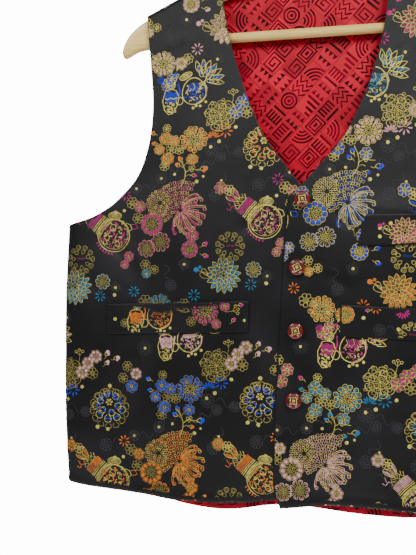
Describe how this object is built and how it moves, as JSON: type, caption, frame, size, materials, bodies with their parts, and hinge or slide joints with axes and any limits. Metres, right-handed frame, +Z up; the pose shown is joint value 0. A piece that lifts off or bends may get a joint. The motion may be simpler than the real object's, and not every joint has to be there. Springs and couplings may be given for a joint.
{
  "type": "waistcoat on a wooden hanger",
  "caption": "Sleeveless V-neck waistcoat with a buttoned front, welt pockets and a lined back, hanging on a wooden hanger with a trouser bar.",
  "frame": {"origin": "the point inside the steel hook where a rail carries it", "axes": "+Z up, +X towards the wearer's left, the front of the garment towards -Y"},
  "size_m": [0.5319, 0.0412, 0.6749],
  "materials": {
    "brocade": "black satin brocade with coloured and gold motifs",
    "lining": "red satin lining with a black geometric print",
    "button": "glossy dark red",
    "wood": "pale, satin varnish",
    "steel": "bright"
  },
  "bodies": {
    "root": {"front_right": "brocade", "front_left": "brocade", "back": "brocade", "back_lining": "lining", "welt_lower_right": "brocade", "welt_lower_left": "brocade", "welt_breast": "brocade", "button_1": "button", "button_2": "button", "button_3": "button", "button_4": "button", "hanger_arms": "wood", "hanger_bar": "wood", "hanger_hook": "steel"}
  },
  "joints": []
}
